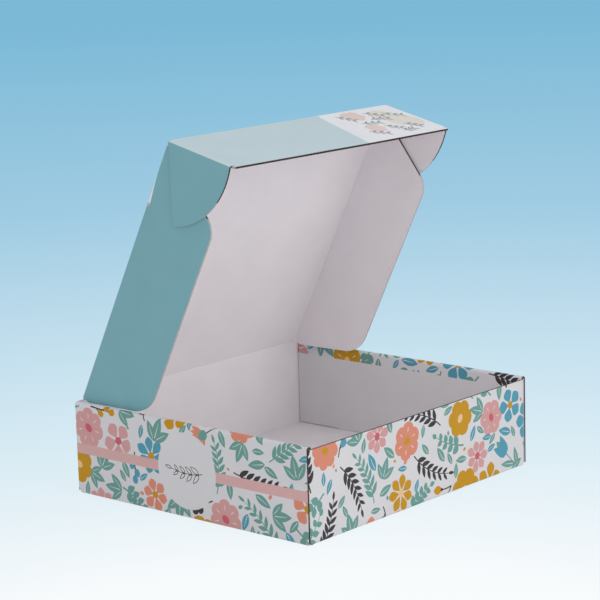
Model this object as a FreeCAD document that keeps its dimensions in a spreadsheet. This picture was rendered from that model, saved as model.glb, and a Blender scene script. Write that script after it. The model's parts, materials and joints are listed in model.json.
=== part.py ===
"""Corrugated mailer box with its lid half open, folded from one sheet of board.

Frame: +X along the lid's fold, the front wall at -Y, +Z up, and the origin under the middle
of the floor. The lid's pieces are drawn closed, in a frame on their fold, and then turned open.
Millimetres and degrees.
"""
import FreeCAD, Part
import math
import os
import Sketcher

SIZES = (
    ("box_width", 252, "outside, across the two side walls"),
    ("box_depth", 224, "outside, front wall to back wall"),
    ("wall_height", 69, "floor's underside to the top of the side walls"),
    ("board", 1.5, "thickness of the corrugated board"),
    ("layer_gap", 0.1, "air between the layers of a side wall"),
    ("bend_inside", 0.5, "inside radius of a fold"),
    ("roll_gap", 0.15, "front wall and dust flaps below the rolled top"),
    ("seat_gap", 0.5, "inner wall above the floor"),
    ("wall_short", 0.1, "ends of the side walls behind the outer faces of the end walls"),
    ("dust_gap", 80, "between the front and back dust flaps inside a side wall"),
    ("tab_width", 28, "locking tab of an inner wall"),
    ("tab_inset", 43, "end of the box to the near edge of a tab"),
    ("tab_rise", 0.1, "a tab's tip above the floor's underside"),
    ("slot_gap", 0.3, "floor slot round a tab"),
    ("fold_gap", 0.5, "air across the lid's hinge fold and its front fold"),
    ("side_gap", 0.3, "air across the folds of the side flaps and ears"),
    ("ply_gap", 0.3, "air between an ear and the side flap inside it"),
    ("wall_clearance", 0.4, "air between an ear and the inner wall when closed"),
    ("front_clearance", 1, "air between the lid's front fold and the front wall"),
    ("lid_angle", 63.35, "lid above its closed place"),
    ("tuck_angle", 103.1, "between the inner faces of the lid and the tuck flap"),
    ("tuck_short", 6, "tuck flap shorter than the side walls"),
    ("flap_short", 7, "side flaps shorter than the side walls"),
    ("flap_back", 0.8, "hinge fold to the start of a side flap"),
    ("flap_front", 4.5, "end of a side flap to the lid's front fold"),
    ("flap_back_taper", 66, "end of a side flap near the hinge, against its fold"),
    ("flap_front_taper", 63.4, "end of a side flap near the tuck flap, against its fold"),
    ("flap_back_round", 25, "corner radius near the hinge"),
    ("flap_front_round", 15, "corner radius near the tuck flap"),
    ("flap_heel", 1.2, "outside radius of a side flap's fold"),
    ("ear_short", 3, "ear's radius less than the tuck flap's height"),
    ("ear_start", 1.5, "front fold to the start of an ear"),
    ("ear_sector", 73.5, "angle of an ear at the front fold"),
)

# Sizes that follow from the sheet, as expressions.
BOARD = "Sizes.board"
HALF_BOARD = "(Sizes.board / 2)"
SIDE = "(Sizes.box_width / 2)"
END = "(Sizes.box_depth / 2)"
TOP = "Sizes.wall_height"
BEND = "(Sizes.board + Sizes.bend_inside)"
WALL = "(3 * Sizes.board + 2 * Sizes.layer_gap)"
ROLL = f"({WALL} / 2)"
ROLL_LEVEL = f"({TOP} - {ROLL})"
FRONT_TOP = f"({ROLL_LEVEL} - Sizes.roll_gap)"
DUST = f"({SIDE} - Sizes.board - Sizes.layer_gap)"
DUST_FOOT = f"({BEND} + Sizes.layer_gap)"
DUST_TIP = "(Sizes.dust_gap / 2)"
INNER = f"({SIDE} - {WALL})"
INNER_FOOT = "(Sizes.board + Sizes.seat_gap)"

EAR = f"({INNER} - Sizes.wall_clearance - {HALF_BOARD})"
FLAP_OUT = f"({EAR} - {HALF_BOARD} - Sizes.ply_gap)"
FLAP_IN = f"({FLAP_OUT} - {BOARD})"
LID_SIDE = f"({FLAP_IN} - Sizes.side_gap)"
TUCK_SIDE = f"({EAR} - {HALF_BOARD} - Sizes.side_gap)"
HINGE_Y = f"({END} - {HALF_BOARD})"
HINGE_Z = f"({TOP} + Sizes.fold_gap + {HALF_BOARD})"
LID = "(Sizes.box_depth - 2 * Sizes.board - Sizes.front_clearance)"
TUCK = f"({TOP} - Sizes.tuck_short)"
TUCK_TURN = "(Sizes.lid_angle + Sizes.tuck_angle - 180)"
FLAP = f"({TOP} - Sizes.flap_short)"
EAR_REACH = f"({TUCK} - Sizes.ear_short)"

doc = FreeCAD.newDocument("mailer_box")
sheet = doc.addObject("Spreadsheet::Sheet", "Sizes")


def fill_sheet():
    for row, (alias, value, note) in enumerate(SIZES, start=1):
        sheet.set(f"A{row}", str(value))
        sheet.setAlias(f"A{row}", alias)
        sheet.set(f"B{row}", note)
    doc.recompute()


def measure(expression):
    """The value of an expression, for a sketch's first guess."""
    return float(sheet.evalExpression(expression))


def arc_between(start, end, radius, turn):
    """A short arc from start to end that turns left (1) or right (-1)."""
    chord = end - start
    rise = math.sqrt(max(radius ** 2 - chord.Length ** 2 / 4, 0))
    across = FreeCAD.Vector(-chord.y, chord.x, 0).normalize() * rise * turn
    centre = (start + end) / 2 + across
    first, last = (start, end) if turn > 0 else (end, start)
    first_angle = math.atan2(first.y - centre.y, first.x - centre.x)
    last_angle = math.atan2(last.y - centre.y, last.x - centre.x)
    if last_angle < first_angle:
        last_angle += 2 * math.pi
    circle = Part.Circle(centre, FreeCAD.Vector(0, 0, 1), radius)
    return Part.ArcOfCircle(circle, first_angle, last_angle)


def add_loop(sketch, corners):
    """Draw a closed outline of (x, y), or (x, y, radius, turn) where an arc runs to the next."""
    base = sketch.GeometryCount
    count = len(corners)
    spots = [FreeCAD.Vector(measure(corner[0]), measure(corner[1]), 0) for corner in corners]
    ends = []
    for index, corner in enumerate(corners):
        start = spots[index]
        end = spots[(index + 1) % count]
        if len(corner) == 2:
            sketch.addGeometry(Part.LineSegment(start, end), False)
            ends.append((1, 2))
            continue
        radius, turn = corner[2:]
        sketch.addGeometry(arc_between(start, end, measure(radius), turn), False)
        ends.append((1, 2) if turn > 0 else (2, 1))
        bind(sketch, Sketcher.Constraint("Radius", base + index, measure(radius)), radius)
    for index, corner in enumerate(corners):
        after = (index + 1) % count
        sketch.addConstraint(Sketcher.Constraint(
            "Coincident", base + index, ends[index][1], base + after, ends[after][0]))
        for kind, expression in zip(("DistanceX", "DistanceY"), corner[:2]):
            bind(sketch, Sketcher.Constraint(
                kind, -1, 1, base + index, ends[index][0], measure(expression)), expression)


def bind(sketch, constraint, expression):
    """Add a constraint whose value follows an expression."""
    place = sketch.addConstraint(constraint)
    name = f"size{place}"
    sketch.renameConstraint(place, name)
    sketch.setExpression(f"Constraints.{name}", expression)


def draw(body, name, role, loops, offset="0"):
    """A sketch of closed outlines on one of the body's own planes, moved along its normal."""
    sketch = body.newObject("Sketcher::SketchObject", name)
    plane = next(item for item in body.Origin.OriginFeatures if item.Role == role)
    sketch.AttachmentSupport = (plane, [""])
    sketch.MapMode = "FlatFace"
    sketch.setExpression("AttachmentOffset.Base.z", offset)
    for corners in loops:
        add_loop(sketch, corners)
    return sketch


def extrude(body, kind, name, sketch, length, symmetric=False):
    feature = body.newObject(f"PartDesign::{kind}", name)
    feature.Profile = sketch
    feature.setExpression("Length", length)
    if symmetric:
        feature.SideType = "Symmetric"


def hang(body, y, z, angle):
    """Turn a piece drawn closed about the X direction, and set it on its fold."""
    body.setExpression("Placement", f"placement(vector(0; {y}; {z}); rotation(vector(-1; 0; 0); {angle}))")


def lid_body(label):
    body = doc.addObject("PartDesign::Body", label)
    hang(body, HINGE_Y, HINGE_Z, "Sizes.lid_angle")
    return body


def tuck_body(label):
    body = doc.addObject("PartDesign::Body", label)
    y = f"({HINGE_Y} - {LID} * cos(Sizes.lid_angle))"
    z = f"({HINGE_Z} + {LID} * sin(Sizes.lid_angle))"
    hang(body, y, z, TUCK_TURN)
    return body


def side_section():
    """Floor, outer walls, rolled tops and inner walls, seen from the front, as one ribbon."""
    small = f"({ROLL} - {BOARD})"
    right = [
        (f"{SIDE} - {BEND}", "0", BEND, 1),
        (SIDE, BEND),
        (SIDE, ROLL_LEVEL, ROLL, 1),
        (f"{SIDE} - {ROLL}", TOP, ROLL, 1),
        (INNER, ROLL_LEVEL),
        (INNER, INNER_FOOT),
        (f"{INNER} + {BOARD}", INNER_FOOT),
        (f"{INNER} + {BOARD}", ROLL_LEVEL, small, -1),
        (f"{SIDE} - {ROLL}", f"{TOP} - {BOARD}", small, -1),
        (f"{SIDE} - {BOARD}", ROLL_LEVEL),
        (f"{SIDE} - {BOARD}", BEND, "Sizes.bend_inside", -1),
        (f"{SIDE} - {BEND}", BOARD),
    ]
    return right + mirrored(right)


def wall_end_sections():
    """The outer side walls and rolled tops, which run on past the floor's ends, seen from the front."""
    small = f"({ROLL} - {BOARD})"
    right = [
        (SIDE, BEND),
        (SIDE, ROLL_LEVEL, ROLL, 1),
        (f"{SIDE} - {ROLL}", TOP, ROLL, 1),
        (INNER, ROLL_LEVEL),
        (f"{INNER} + {BOARD}", ROLL_LEVEL, small, -1),
        (f"{SIDE} - {ROLL}", f"{TOP} - {BOARD}", small, -1),
        (f"{SIDE} - {BOARD}", ROLL_LEVEL),
        (f"{SIDE} - {BOARD}", BEND),
    ]
    return [right, mirrored(right)]


def mirrored(corners):
    """The same stretch of outline on the other side of the middle, run backwards."""
    left = []
    for index in range(len(corners) - 1, -1, -1):
        x, y = corners[index][:2]
        arc = corners[index - 1][2:] if index else ()
        left.append((f"-({x})", y) + arc)
    return left


def end_section():
    """Floor, front wall and back wall, seen from the side."""
    return [
        (f"{END} - {BEND}", "0", BEND, 1),
        (END, BEND),
        (END, TOP),
        (f"{END} - {BOARD}", TOP),
        (f"{END} - {BOARD}", BEND, "Sizes.bend_inside", -1),
        (f"{END} - {BEND}", BOARD),
        (f"-({END} - {BEND})", BOARD, "Sizes.bend_inside", -1),
        (f"-({END} - {BOARD})", BEND),
        (f"-({END} - {BOARD})", FRONT_TOP),
        (f"-{END}", FRONT_TOP),
        (f"-{END}", BEND, BEND, 1),
        (f"-({END} - {BEND})", "0"),
    ]


def dust_section(end):
    """An end wall and the dust flaps bent back from it, seen from above. end is 1 or -1."""
    right = [
        (f"{DUST} - {BEND}", f"{end} * {END}", BEND, -end),
        (DUST, f"{end} * ({END} - {BEND})"),
        (DUST, f"{end} * {DUST_TIP}"),
        (f"{DUST} - {BOARD}", f"{end} * {DUST_TIP}"),
        (f"{DUST} - {BOARD}", f"{end} * ({END} - {BEND})", "Sizes.bend_inside", end),
        (f"{DUST} - {BEND}", f"{end} * ({END} - {BOARD})"),
    ]
    return right + mirrored(right)


def tab_plans(room):
    """The four locking tabs seen from above, grown all round by room."""
    plans = []
    for x_side in (-1, 1):
        for y_side in (-1, 1):
            xs = (f"{x_side} * ({INNER} - {room})", f"{x_side} * ({INNER} + {BOARD} + {room})")
            near = f"{y_side} * ({END} - Sizes.tab_inset + {room})"
            far = f"{y_side} * ({END} - Sizes.tab_inset - Sizes.tab_width - {room})"
            plans.append([(xs[0], near), (xs[1], near), (xs[1], far), (xs[0], far)])
    return plans


def make_tray():
    """The folded tray: one sheet, with rolled side walls and dust flaps inside them."""
    body = doc.addObject("PartDesign::Body", "tray")
    sides = draw(body, "tray_side_section", "XZ_Plane", [side_section()])
    extrude(body, "Pad", "tray_sides", sides, f"2 * ({END} - {BEND})", symmetric=True)
    walls = draw(body, "tray_wall_end_sections", "XZ_Plane", wall_end_sections())
    extrude(body, "Pad", "tray_wall_ends", walls, f"2 * ({END} - Sizes.wall_short)", symmetric=True)
    ends = draw(body, "tray_end_section", "YZ_Plane", [end_section()])
    extrude(body, "Pad", "tray_ends", ends, f"2 * ({DUST} - {BEND})", symmetric=True)
    for name, end in (("front", -1), ("back", 1)):
        dust = draw(body, f"tray_{name}_dust_plan", "XY_Plane", [dust_section(end)], DUST_FOOT)
        extrude(body, "Pad", f"tray_{name}_dust", dust, f"{FRONT_TOP} - {DUST_FOOT}")
    slots = draw(body, "tray_slot_plan", "XY_Plane", tab_plans("Sizes.slot_gap"))
    extrude(body, "Pocket", "tray_slots", slots, f"2 * {BOARD}", symmetric=True)
    tabs = draw(body, "tray_tab_plan", "XY_Plane", tab_plans("0"), "Sizes.tab_rise")
    extrude(body, "Pad", "tray_tabs", tabs, f"{INNER_FOOT} - Sizes.tab_rise")
    return body


def plate_section(length):
    """A plate that runs to -Y from a rounded end on its fold."""
    return [
        (f"-({length})", f"-{HALF_BOARD}"),
        ("0", f"-{HALF_BOARD}", HALF_BOARD, 1),
        (HALF_BOARD, "0", HALF_BOARD, 1),
        ("0", HALF_BOARD),
        (f"-({length})", HALF_BOARD),
    ]


def make_lid_panel():
    body = lid_body("lid_panel")
    length = f"{LID} - {HALF_BOARD} - Sizes.fold_gap"
    section = draw(body, "lid_section", "YZ_Plane", [plate_section(length)])
    extrude(body, "Pad", "lid_plate", section, f"2 * {LID_SIDE}", symmetric=True)
    return body


def make_tuck_flap():
    body = tuck_body("tuck_flap")
    section = draw(body, "tuck_section", "YZ_Plane", [plate_section(TUCK)])
    extrude(body, "Pad", "tuck_plate", section, f"2 * {TUCK_SIDE}", symmetric=True)
    return body


def flap_outline():
    """A side flap seen from the side: tapered ends and two rounded corners."""
    back_slope = "Sizes.flap_back_taper"
    front_slope = "Sizes.flap_front_taper"
    back_round = "Sizes.flap_back_round"
    front_round = "Sizes.flap_front_round"
    back = f"(Sizes.flap_back + ({FLAP} - {HALF_BOARD}) / tan({back_slope}))"
    front = f"({LID} - Sizes.flap_front - ({FLAP} - {HALF_BOARD}) / tan({front_slope}))"
    back_cut = f"({back_round} * tan({back_slope} / 2))"
    front_cut = f"({front_round} * tan({front_slope} / 2))"
    return [
        ("-Sizes.flap_back", f"-{HALF_BOARD}"),
        (f"-({back} - {back_cut} * cos({back_slope}))", f"-({FLAP} - {back_cut} * sin({back_slope}))",
         back_round, -1),
        (f"-({back} + {back_cut})", f"-{FLAP}"),
        (f"-({front} - {front_cut})", f"-{FLAP}", front_round, -1),
        (f"-({front} + {front_cut} * cos({front_slope}))", f"-({FLAP} - {front_cut} * sin({front_slope}))"),
        (f"-({LID} - Sizes.flap_front)", f"-{HALF_BOARD}"),
    ]


def make_side_flap(label, side):
    """A side flap, square to the lid, with its fold rounded on the outside. side is 1 or -1."""
    body = lid_body(label)
    middle = f"{side} * ({FLAP_IN} + {HALF_BOARD})"
    outline = draw(body, f"{label}_outline", "YZ_Plane", [flap_outline()], middle)
    extrude(body, "Pad", f"{label}_plate", outline, BOARD, symmetric=True)
    heel = [
        (f"{side} * {FLAP_IN}", f"-{HALF_BOARD}"),
        (f"{side} * {FLAP_OUT}", f"-{HALF_BOARD}"),
        (f"{side} * {FLAP_OUT}", f"{HALF_BOARD} - Sizes.flap_heel", "Sizes.flap_heel", side),
        (f"{side} * ({FLAP_OUT} - Sizes.flap_heel)", HALF_BOARD),
        (f"{side} * {FLAP_IN}", HALF_BOARD),
    ]
    fold = draw(body, f"{label}_heel_section", "XZ_Plane", [heel], "Sizes.flap_back")
    extrude(body, "Pad", f"{label}_heel", fold, f"{LID} - Sizes.flap_front - Sizes.flap_back")
    return body


def make_ear(label, side):
    """A rounded ear on the end of the tuck flap, square to it. side is 1 or -1."""
    body = tuck_body(label)
    outline = [
        ("-Sizes.ear_start", "0"),
        (f"-{EAR_REACH}", "0", EAR_REACH, 1),
        (f"-{EAR_REACH} * cos(Sizes.ear_sector)", f"-{EAR_REACH} * sin(Sizes.ear_sector)"),
    ]
    plate = draw(body, f"{label}_outline", "YZ_Plane", [outline], f"{side} * {EAR}")
    extrude(body, "Pad", f"{label}_plate", plate, BOARD, symmetric=True)
    bead = [
        (f"{side} * ({EAR} - {HALF_BOARD})", "0"),
        (f"{side} * ({EAR} + {HALF_BOARD})", "0", HALF_BOARD, side),
        (f"{side} * {EAR}", HALF_BOARD, HALF_BOARD, side),
    ]
    fold = draw(body, f"{label}_bead_section", "XZ_Plane", [bead], "Sizes.ear_start")
    extrude(body, "Pad", f"{label}_bead", fold, f"{EAR_REACH} - Sizes.ear_start")
    return body


def check_and_write(bodies):
    for item in doc.Objects:
        if "Invalid" in item.State or "Error" in item.State:
            raise RuntimeError(f"{item.Name} failed: {item.State}")
    for body in bodies:
        shape = body.Shape
        if shape.isNull() or not shape.isValid() or len(shape.Solids) != 1:
            raise RuntimeError(f"{body.Label} isn't one sound solid")
    os.makedirs("parts", exist_ok=True)
    for body in bodies:
        body.Shape.exportStep(f"parts/{body.Label}.step")
        box = body.Shape.BoundBox
        print(f"{body.Label}: {body.Shape.Volume:.0f} mm3, X {box.XMin:.2f} to {box.XMax:.2f},"
              f" Y {box.YMin:.2f} to {box.YMax:.2f}, Z {box.ZMin:.2f} to {box.ZMax:.2f}")


fill_sheet()
box_pieces = [
    make_tray(),
    make_lid_panel(),
    make_tuck_flap(),
    make_side_flap("left_side_flap", -1),
    make_side_flap("right_side_flap", 1),
    make_ear("left_ear", -1),
    make_ear("right_ear", 1),
]
doc.recompute()
check_and_write(box_pieces)
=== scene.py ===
"""Dresses the folded mailer box: printed board, creases, fluted cut edges, floor, lamps and camera."""
import json
import math
import random

import bpy
from bpy.props import FloatProperty, FloatVectorProperty, IntProperty, PointerProperty
from mathutils import Matrix, Vector
from mathutils.geometry import delaunay_2d_cdt


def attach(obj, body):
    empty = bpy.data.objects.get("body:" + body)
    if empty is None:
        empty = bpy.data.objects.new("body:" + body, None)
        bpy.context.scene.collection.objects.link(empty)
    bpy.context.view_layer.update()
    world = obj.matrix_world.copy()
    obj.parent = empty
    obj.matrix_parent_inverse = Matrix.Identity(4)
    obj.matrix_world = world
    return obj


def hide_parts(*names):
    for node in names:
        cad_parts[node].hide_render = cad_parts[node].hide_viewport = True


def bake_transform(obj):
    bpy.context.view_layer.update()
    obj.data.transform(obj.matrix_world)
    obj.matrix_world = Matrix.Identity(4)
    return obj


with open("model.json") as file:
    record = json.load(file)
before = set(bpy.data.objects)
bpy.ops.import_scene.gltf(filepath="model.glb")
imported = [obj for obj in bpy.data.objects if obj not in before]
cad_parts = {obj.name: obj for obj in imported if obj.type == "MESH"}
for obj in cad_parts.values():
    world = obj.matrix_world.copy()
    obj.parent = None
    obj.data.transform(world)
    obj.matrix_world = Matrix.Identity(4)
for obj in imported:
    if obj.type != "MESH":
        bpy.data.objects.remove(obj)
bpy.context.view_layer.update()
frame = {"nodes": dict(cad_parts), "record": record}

bl_info = {
    "name": "Mailer Box Dressing",
    "version": (1, 0, 0),
    "blender": (4, 5, 0),
    "location": "3D View > Sidebar > Mailer Box",
    "description": "Builds the printed board, creases and cut edges of a folded mailer box",
    "category": "Add Mesh",
}

# The flat sheet is drawn in millimetres, and becomes metres when a mesh is made.
MM = 0.001
JOINTS = {joint["name"]: joint for joint in frame["record"]["behaviour"]["joints"]}


def node_span(node, origin, direction):
    """How far a node reaches from a point along a direction, in millimetres, as (least, most)."""
    reach = [(vertex.co / MM - origin).dot(direction) for vertex in frame["nodes"][node].data.vertices]
    return min(reach), max(reach)


RIGHT = Vector((1, 0, 0))
BACK = Vector((0, 1, 0))
UP = Vector((0, 0, 1))
CENTRE = Vector((0, 0, 0))

SIDE = node_span("tray", CENTRE, RIGHT)[1]
END = node_span("tray", CENTRE, BACK)[1]
TOP = node_span("tray", CENTRE, UP)[1]
HINGE = Vector(JOINTS["lid_fold"]["pos_m"]) / MM
FRONT_FOLD = Vector(JOINTS["tuck_fold"]["pos_m"]) / MM
LID_WAY = (FRONT_FOLD - HINGE).normalized()
LID = (FRONT_FOLD - HINGE).length
TUCK_WAY = Vector(JOINTS["right_ear_fold"]["axis"]).normalized()
LID_IN = LID_WAY.cross(RIGHT)
LID_IN = LID_IN if LID_IN.z < 0 else -LID_IN
TUCK_IN = TUCK_WAY.cross(RIGHT)
TUCK_IN = TUCK_IN if TUCK_IN.dot(LID_WAY) < 0 else -TUCK_IN
FLAP_IN, FLAP_OUT = node_span("right_side_flap", CENTRE, RIGHT)
BOARD = FLAP_OUT - FLAP_IN
HALF_BOARD = BOARD / 2
FLAP_MIDDLE = FLAP_IN + HALF_BOARD
EAR_MIDDLE = sum(node_span("right_ear", CENTRE, RIGHT)) / 2
TUCK = node_span("tuck_flap", FRONT_FOLD, TUCK_WAY)[1]
FLAP = node_span("right_side_flap", HINGE, LID_IN)[1]
FLAP_BACK, FLAP_FRONT = node_span("right_side_flap", HINGE, LID_WAY)
EAR_START, EAR_REACH = node_span("right_ear", FRONT_FOLD, TUCK_WAY)
LID_SIDE = node_span("lid_panel", CENTRE, RIGHT)[1]

BEND_INSIDE = 0.5
BEND = BOARD + BEND_INSIDE
LAYER_GAP = 0.1
ROLL_GAP = 0.15
SEAT_GAP = 0.5
WALL = 3 * BOARD + 2 * LAYER_GAP
ROLL = WALL / 2
ROLL_LEVEL = TOP - ROLL
FRONT_TOP = ROLL_LEVEL - ROLL_GAP
DUST = SIDE - BOARD - LAYER_GAP
DUST_FOOT = BEND + LAYER_GAP
DUST_TIP = 40.0
TAB_NEAR = END - 43.0
TAB_WIDTH = 28.0
TAB_RISE = 0.1
SLOT_GAP = 0.3
WALL_END = END - 0.1
FLAP_BACK_TAPER = math.radians(66)
FLAP_FRONT_TAPER = math.radians(63.4)
FLAP_BACK_ROUND = 25.0
FLAP_FRONT_ROUND = 15.0
FLAP_HEEL = 7.0
EAR_SECTOR = math.radians(73.5)
LEAD = 3.0

# A cut edge shows open flutes where it lies within about 27 degrees of square across them.
OPEN_EDGE = 0.89

# The low ridge that scoring raises on the inner face beside a fold.
RIDGE = 0.22
RIDGE_OFF = 1.3
RIDGE_WIDTH = 0.6
RIDGE_STEPS = (0.5, 0.9, 1.3, 1.7, 2.3)

# Lengths along the outer face of the sheet, for the bends of the tray.
FLOOR_X = SIDE - BEND
FLOOR_Y = END - BEND
BEND_RUN = BEND * math.pi / 2
WALL_RUN = ROLL_LEVEL - BEND
ROLL_RUN = ROLL * math.pi
INNER_RUN = ROLL_LEVEL - BOARD - SEAT_GAP
TAB_RUN = BOARD + SEAT_GAP - TAB_RISE
ROLL_END = BEND_RUN + WALL_RUN + ROLL_RUN
WING = ROLL_END + INNER_RUN
DUST_X = DUST - BEND
FRONT_WING = BEND_RUN + FRONT_TOP - BEND
BACK_WING = BEND_RUN + TOP - BEND
BEND_STEPS = 6
ROLL_STEPS = 14

# The end walls bow inwards by this share of the side walls' bow.
END_BOW = 0.6


def ink(red, green, blue):
    """A colour given as it renders, 0 to 255, as Blender's linear numbers."""
    levels = [value / 255 for value in (red, green, blue)]
    return tuple(v / 12.92 if v <= 0.04045 else ((v + 0.055) / 1.055) ** 2.4 for v in levels)


def colour(name, description, red, green, blue):
    return FloatVectorProperty(name=name, description=description, subtype="COLOR", size=3,
                               min=0, max=1, default=ink(red, green, blue))


class MailerBoard(bpy.types.PropertyGroup):
    """Sizes of the corrugated board and its print."""
    flute_pitch: FloatProperty(name="Flute pitch", description="Distance from flute to flute",
                               default=0.0032, unit="LENGTH")
    liner: FloatProperty(name="Liner", description="Thickness of one liner at a cut edge",
                         default=0.00024, unit="LENGTH")
    medium: FloatProperty(name="Medium", description="Thickness of the fluted paper",
                          default=0.00018, unit="LENGTH")
    edge_depth: FloatProperty(name="Edge depth", description="How deep a cut edge is open",
                              default=0.0009, unit="LENGTH")
    mesh_step: FloatProperty(name="Mesh step", description="Spacing of the points inside a panel",
                             default=0.009, unit="LENGTH")
    roll_print: FloatProperty(name="Print over the roll",
                              description="How far the print runs down inside the side walls",
                              default=0.007, unit="LENGTH")
    floor_print: FloatProperty(name="Print under the floor",
                               description="How far the print runs under the floor",
                               default=0.011, unit="LENGTH")
    bow: FloatProperty(name="Bow", description="How far a wall bows out at its middle",
                       default=0.0005, unit="LENGTH")
    band: FloatProperty(name="Band", description="Height of the plain band on the side walls",
                        default=0.0075, unit="LENGTH")
    label: FloatProperty(name="Label", description="Diameter of the round label on the side walls",
                         default=0.056, unit="LENGTH")
    seed: IntProperty(name="Layout", description="Number that the scattered print grows from",
                      default=7)


class MailerInks(bpy.types.PropertyGroup):
    """Colours of the board and its print."""
    liner: colour("Liner", "Coated white inside of the board", 243, 238, 240)
    paper: colour("Paper", "White ground of the print", 223, 221, 222)
    bright: colour("Bright white", "White ground of the lid's belt and picture", 246, 243, 243)
    edge: colour("Edge", "Crushed edges of the board", 200, 194, 192)
    # Painted shade: a near-black for the hollow between the liners at open cut edges, darker than the
    # fluted paper itself.
    core: colour("Core", "Shaded inside of the flutes", 44, 39, 37)
    fluting: colour("Fluting", "Fluted paper and liners at a cut edge", 116, 104, 96)
    teal: colour("Teal", "Outside of the lid's flaps", 129, 180, 188)
    # Painted sheen: the flaps' teal made paler, standing for the sheen of light from above on the lid and
    # tuck flap.
    pale_teal: colour("Pale teal", "Outside of the lid and tuck flap", 210, 223, 223)
    mustard: colour("Mustard", "Flowers and buds", 203, 149, 8)
    coral: colour("Coral", "Flowers", 222, 142, 115)
    pink: colour("Pink", "Flowers", 215, 160, 157)
    rose: colour("Rose", "Flower centres", 205, 98, 112)
    band: colour("Band", "Plain band on the side walls", 220, 176, 173)
    peach: colour("Peach", "Flower centres", 240, 198, 154)
    sage: colour("Sage", "Leaves", 108, 160, 150)
    blue: colour("Blue", "Flowers and berries", 82, 158, 178)
    charcoal: colour("Charcoal", "Stems, ferns and berries", 58, 52, 54)
    wash_grey: colour("Grey wash", "Sketched leaves on the tuck flap", 172, 163, 160)
    wash_ochre: colour("Ochre wash", "Sketched ground on the tuck flap", 238, 229, 214)
    wash_peach: colour("Peach wash", "Sketched flowers on the tuck flap", 240, 214, 204)


class MailerStage(bpy.types.PropertyGroup):
    """Floor, lamps and camera."""
    key_power: FloatProperty(name="Front lamp", description="Power of the large lamp in front",
                             default=16.0, unit="POWER")
    top_power: FloatProperty(name="Top lamp", description="Power of the lamp overhead",
                             default=10.0, unit="POWER")
    side_power: FloatProperty(name="Side lamp", description="Power of the lamp at the left",
                              default=6.0, unit="POWER")
    sky: FloatProperty(name="Sky", description="Strength of the even light", default=0.54)
    backdrop: FloatProperty(name="Backdrop", description="Share of the floor's look that no light changes",
                            default=0.9, subtype="FACTOR")
    floor_near: colour("Near floor", "Floor round the box", 251, 254, 255)
    floor_pale: colour("Pale floor", "Floor a little behind the box", 214, 236, 246)
    floor_blue: colour("Blue floor", "Floor further behind the box", 155, 204, 229)
    floor_far: colour("Far floor", "Floor far away, and the sky", 114, 185, 217)
    lens: FloatProperty(name="Lens", description="Focal length", default=133.74)


INK_NAMES = tuple(MailerInks.__annotations__)


# Outlines of the print's motifs, in millimetres on the flat sheet.

def turned(x, y, angle, along, across):
    """The point that lies along and across from (x, y) in a frame turned by angle."""
    c, s = math.cos(angle), math.sin(angle)
    return x + along * c - across * s, y + along * s + across * c


def box_between(left, right, low, high):
    return [(left, low), (right, low), (right, high), (left, high)]


def oval(x, y, long, wide, angle=0.0, count=18):
    steps = [2 * math.pi * i / count for i in range(count)]
    return [turned(x, y, angle, long * math.cos(t), wide * math.sin(t)) for t in steps]


def scallop(x, y, radius, lobes, depth, angle, count=8):
    """A round outline with lobes."""
    outline = []
    for i in range(lobes * count):
        t = 2 * math.pi * i / (lobes * count)
        r = radius * (1 - depth + depth * abs(math.cos(lobes * t / 2)) ** 0.7)
        outline.append(turned(x, y, angle, r * math.cos(t), r * math.sin(t)))
    return outline


def leaf(x, y, length, width, angle, fullness=0.8, count=7):
    """A leaf or petal from its base at (x, y); a small fullness puts its widest place near the base."""
    upper, lower = [], []
    for i in range(1, count):
        t = i / count
        half = width / 2 * math.sin(math.pi * t ** fullness) ** 0.85
        upper.append(turned(x, y, angle, length * t, half))
        lower.append(turned(x, y, angle, length * t, -half))
    return [turned(x, y, angle, 0, 0)] + lower + [turned(x, y, angle, length, 0)] + upper[::-1]


def stalk(x, y, length, angle, bend, count=8):
    """Points and headings along a stem that turns by bend over its length."""
    points = []
    for i in range(count + 1):
        heading = angle + bend * i / count
        points.append((x, y, heading))
        x += length / count * math.cos(heading + bend / count / 2)
        y += length / count * math.sin(heading + bend / count / 2)
    return points


def ribbon(points, start_width, end_width):
    """The outline of a stem drawn along points."""
    left, right = [], []
    last = len(points) - 1
    for i, (x, y, heading) in enumerate(points):
        half = (start_width + (end_width - start_width) * i / last) / 2
        left.append(turned(x, y, heading, 0, half))
        right.append(turned(x, y, heading, 0, -half))
    return right + left[::-1]


def veined_leaf(x, y, length, width, angle, shade, vein="paper"):
    """A leaf with a pale midrib."""
    foot = turned(x, y, angle, length * 0.12, 0)
    rib = stalk(*foot, length * 0.62, angle, 0.0, 3)
    return [(leaf(x, y, length, width, angle, 0.85, 8), shade), (ribbon(rib, length * 0.045, 0.25), vein)]


EYES = {"mustard": "peach", "coral": "mustard", "pink": "rose", "blue": "mustard"}
LININGS = {"mustard": "peach", "coral": "peach", "pink": "rose", "blue": "sage"}


# Each motif draws its size from the random numbers, and gives the circles that it keeps clear and its
# shapes, the lowest first.

def daisy(rng, x, y, angle, shade):
    size = rng.uniform(13.0, 16.5)
    petals = rng.choice((5, 6, 6, 7))
    shapes = []
    for i in range(petals):
        way = angle + 2 * math.pi * i / petals
        base = turned(x, y, way, size * 0.12, 0)
        length = size * rng.uniform(0.74, 0.9)
        shapes.append((leaf(*base, length, size * 3.6 / petals, way, 1.5), shade))
    shapes.append((oval(x, y, size * 0.22, size * 0.2, angle, 16), EYES[shade]))
    return [(x, y, size)], shapes


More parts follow.
